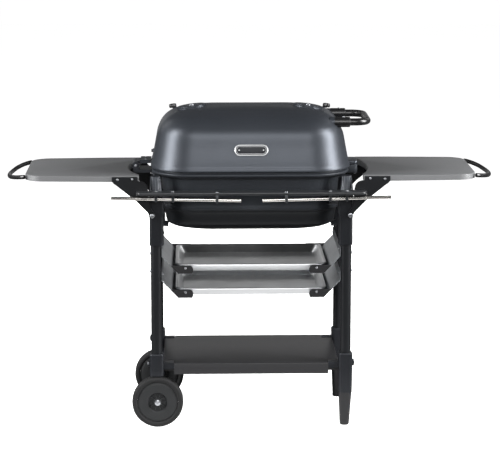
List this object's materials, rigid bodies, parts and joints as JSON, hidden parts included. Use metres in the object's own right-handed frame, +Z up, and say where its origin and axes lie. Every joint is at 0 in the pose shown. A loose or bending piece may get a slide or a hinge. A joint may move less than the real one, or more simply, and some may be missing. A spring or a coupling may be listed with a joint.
{
  "type": "charcoal grill on cart",
  "caption": "Dark capsule-shaped charcoal grill and smoker on a wheeled leg cart, with fold-down side shelves, a front tool rail, sheet pans on racks and a lower shelf.",
  "frame": {"origin": "centre of the overall box on the floor, midway between the side handle tips and midway from the rods to the back of the lid", "axes": "+X to the right side shelf, +Y to the back, +Z up; the front with the emblem and rail faces -Y"},
  "size_m": [1.4696, 0.4524, 0.96],
  "materials": {
    "body_metal": "satin dark graphite coating on cast aluminium",
    "black_casting": "satin black coating on castings",
    "black_tube": "satin black powder coat",
    "grey_sheet": "satin dark grey powder coat on sheet",
    "black_sheet": "fine matte black powder coat on sheet",
    "stainless": "polished stainless bar",
    "pan_metal": "plain bright aluminium sheet",
    "emblem_metal": "brushed plate with dark recesses",
    "iron_grate": "seasoned dark iron",
    "handle_plastic": "matte black heat-resistant plastic",
    "tyre_rubber": "dark solid rubber",
    "hub_plastic": "dark grey textured plastic"
  },
  "bodies": {
    "cart": {"axle": "stainless", "axle_casting_back_left": "black_casting", "axle_casting_front_left": "black_casting", "base_shell": "body_metal", "charcoal_grate": "iron_grate", "foot_back_right": "black_casting", "foot_casting_back_right": "black_casting", "foot_casting_front_right": "black_casting", "foot_front_right": "black_casting", "front_rail": "black_tube", "hinge_bracket": "body_metal", "hinge_pin": "stainless", "leg_back_left": "black_tube", "leg_back_right": "black_tube", "leg_casting_back_left": "black_casting", "leg_casting_back_right": "black_casting", "leg_casting_front_left": "black_casting", "leg_casting_front_right": "black_casting", "leg_front_left": "black_tube", "leg_front_right": "black_tube", "lower_shelf": "black_sheet", "rack_lower_left": "black_sheet", "rack_lower_right": "black_sheet", "rack_upper_left": "black_sheet", "rack_upper_right": "black_sheet", "tool_rod_left": "stainless", "tool_rod_right": "stainless"},
    "lid": {"lid_shell": "body_metal", "lid_handle": "handle_plastic", "badge_plate": "emblem_metal", "probe_port": "black_casting", "hinge_leaf": "black_casting"},
    "top_vent_left": {"top_vent_disc_left": "body_metal", "top_vent_knob_left": "handle_plastic"},
    "top_vent_right": {"top_vent_disc_right": "body_metal", "top_vent_knob_right": "handle_plastic"},
    "low_vent_left": {"low_vent_disc_left": "black_casting"},
    "low_vent_right": {"low_vent_disc_right": "black_casting"},
    "cook_grate": {"cooking_grate": "iron_grate"},
    "wheel_front": {"tyre_front": "tyre_rubber", "wheel_hub_front": "hub_plastic"},
    "wheel_back": {"tyre_back": "tyre_rubber", "wheel_hub_back": "hub_plastic"},
    "shelf_left": {"side_shelf_left": "grey_sheet", "gusset_front_left": "grey_sheet", "gusset_back_left": "grey_sheet", "grab_bar_left": "handle_plastic"},
    "shelf_right": {"side_shelf_right": "grey_sheet", "gusset_front_right": "grey_sheet", "gusset_back_right": "grey_sheet", "grab_bar_right": "handle_plastic"},
    "pan_upper": {"sheet_pan_upper": "pan_metal"},
    "pan_lower": {"sheet_pan_lower": "pan_metal"}
  },
  "joints": [
    {"name": "lid_hinge", "type": "hinge", "parent": "cart", "child": "lid", "pos_m": [-0.345, 0.02325, 0.776], "axis": [0, -1, 0], "range_deg": [0, 95]},
    {"name": "top_vent_left_turn", "type": "hinge", "parent": "lid", "child": "top_vent_left", "pos_m": [-0.176, 0.02325, 0.9515], "axis": [-0.1305, 0, 0.9914], "range_deg": [0, 60]},
    {"name": "top_vent_right_turn", "type": "hinge", "parent": "lid", "child": "top_vent_right", "pos_m": [0.176, 0.02325, 0.9515], "axis": [0.1305, 0, 0.9914], "range_deg": [0, 60]},
    {"name": "low_vent_left_turn", "type": "hinge", "parent": "cart", "child": "low_vent_left", "pos_m": [-0.205, 0.02325, 0.591], "axis": [-0.1736, 0, -0.9848], "range_deg": [0, 60]},
    {"name": "low_vent_right_turn", "type": "hinge", "parent": "cart", "child": "low_vent_right", "pos_m": [0.205, 0.02325, 0.591], "axis": [0.1736, 0, -0.9848], "range_deg": [0, 60]},
    {"name": "cook_grate_lift", "type": "slide", "parent": "cart", "child": "cook_grate", "axis": [0, 0, 1], "range_m": [0, 0.012]},
    {"name": "wheel_front_spin", "type": "hinge", "parent": "cart", "child": "wheel_front", "pos_m": [-0.282, -0.15075, 0.077], "axis": [0, 1, 0], "continuous": true},
    {"name": "wheel_back_spin", "type": "hinge", "parent": "cart", "child": "wheel_back", "pos_m": [-0.282, 0.19725, 0.077], "axis": [0, 1, 0], "continuous": true},
    {"name": "shelf_left_fold", "type": "hinge", "parent": "cart", "child": "shelf_left", "pos_m": [-0.294, 0.02325, 0.648], "axis": [0, -1, 0], "range_deg": [0, 90]},
    {"name": "shelf_right_fold", "type": "hinge", "parent": "cart", "child": "shelf_right", "pos_m": [0.294, 0.02325, 0.648], "axis": [0, 1, 0], "range_deg": [0, 90]},
    {"name": "pan_upper_lift", "type": "slide", "parent": "cart", "child": "pan_upper", "axis": [0, 0, 1], "range_m": [0, 0.03]},
    {"name": "pan_lower_lift", "type": "slide", "parent": "cart", "child": "pan_lower", "axis": [0, 0, 1], "range_m": [0, 0.03]}
  ]
}
